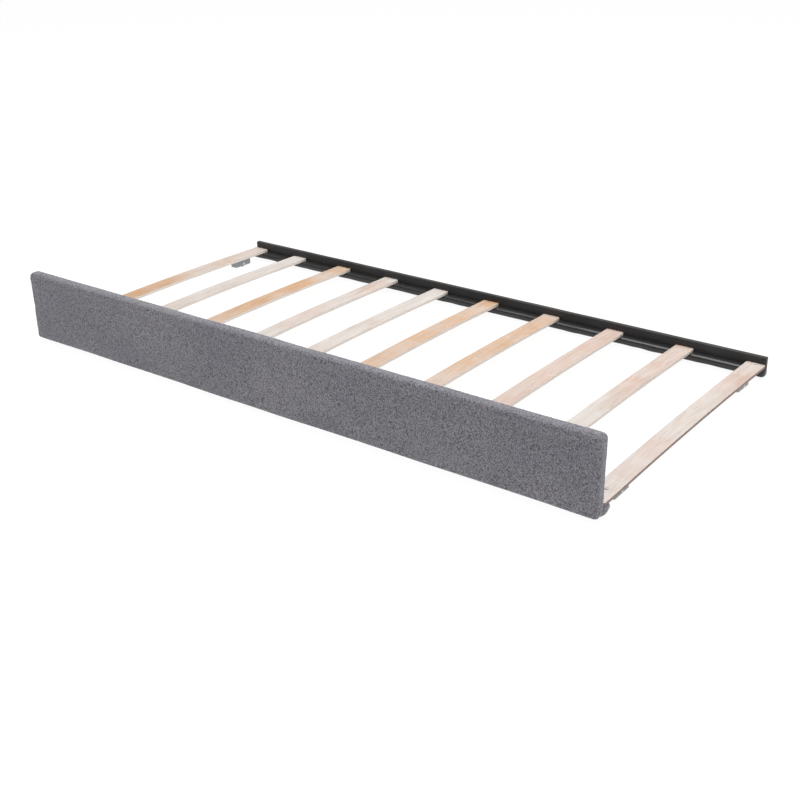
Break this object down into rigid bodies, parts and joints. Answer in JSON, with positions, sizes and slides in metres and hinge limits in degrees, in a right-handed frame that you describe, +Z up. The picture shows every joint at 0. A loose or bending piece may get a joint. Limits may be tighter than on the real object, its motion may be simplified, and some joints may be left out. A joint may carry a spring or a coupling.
{
  "type": "trundle bed",
  "caption": "Low rolling trundle bed with a padded fabric front panel, a wrapped rear rail, arched plywood slats across and fixed casters under the end slats.",
  "frame": {"origin": "middle of the bounding box in plan, on the floor plane under the wheels", "axes": "X along the bed and the front panel, the front panel faces -Y, Z up"},
  "size_m": [1.9, 0.992, 0.213],
  "materials": {
    "grey_fabric": "matte woven boucle",
    "foam": "matte open cell foam",
    "core_wood": "raw board",
    "slat_pale": "smooth birch plywood",
    "slat_tan": "smooth beech plywood",
    "black_wrap": "satin coated fabric",
    "grey_housing": "satin",
    "steel": "zinc plated",
    "nylon": "smooth moulded"
  },
  "bodies": {
    "frame": {"front_board": "core_wood", "front_foam": "foam", "front_cover": "grey_fabric", "front_staples": "steel", "front_ledge": "core_wood", "front_ledge_cover": "grey_fabric", "front_ledge_screws": "steel", "front_slat_screws": "steel", "rear_board": "core_wood", "rear_board_cover": "black_wrap", "rear_staples": "steel", "rear_ledge": "core_wood", "rear_ledge_cover": "black_wrap", "rear_ledge_screws": "steel", "rear_slat_screws": "steel", "rear_end_screws": "steel", "caster_bolts": "steel", "caster_nuts": "steel", "caster_screws": "steel", "slat_1": "slat_tan", "slat_2": "slat_pale", "slat_3": "slat_tan", "slat_4": "slat_pale", "slat_5": "slat_pale", "slat_6": "slat_tan", "slat_7": "slat_tan", "slat_8": "slat_pale", "slat_9": "slat_pale", "slat_10": "slat_pale", "caster_housing_1": "grey_housing", "caster_axle_1": "steel", "caster_housing_2": "grey_housing", "caster_axle_2": "steel", "caster_housing_3": "grey_housing", "caster_axle_3": "steel", "caster_housing_4": "grey_housing", "caster_axle_4": "steel"},
    "wheel_left_front": {"caster_wheel_1": "nylon"},
    "wheel_left_rear": {"caster_wheel_2": "nylon"},
    "wheel_right_front": {"caster_wheel_3": "nylon"},
    "wheel_right_rear": {"caster_wheel_4": "nylon"}
  },
  "joints": [
    {"name": "wheel_spin_left_front", "type": "hinge", "parent": "frame", "child": "wheel_left_front", "pos_m": [-0.9215, -0.346, 0.014], "axis": [1, 0, 0], "continuous": true},
    {"name": "wheel_spin_left_rear", "type": "hinge", "parent": "frame", "child": "wheel_left_rear", "pos_m": [-0.9215, 0.364, 0.014], "axis": [1, 0, 0], "continuous": true},
    {"name": "wheel_spin_right_front", "type": "hinge", "parent": "frame", "child": "wheel_right_front", "pos_m": [0.9215, -0.346, 0.014], "axis": [1, 0, 0], "continuous": true},
    {"name": "wheel_spin_right_rear", "type": "hinge", "parent": "frame", "child": "wheel_right_rear", "pos_m": [0.9215, 0.364, 0.014], "axis": [1, 0, 0], "continuous": true}
  ]
}
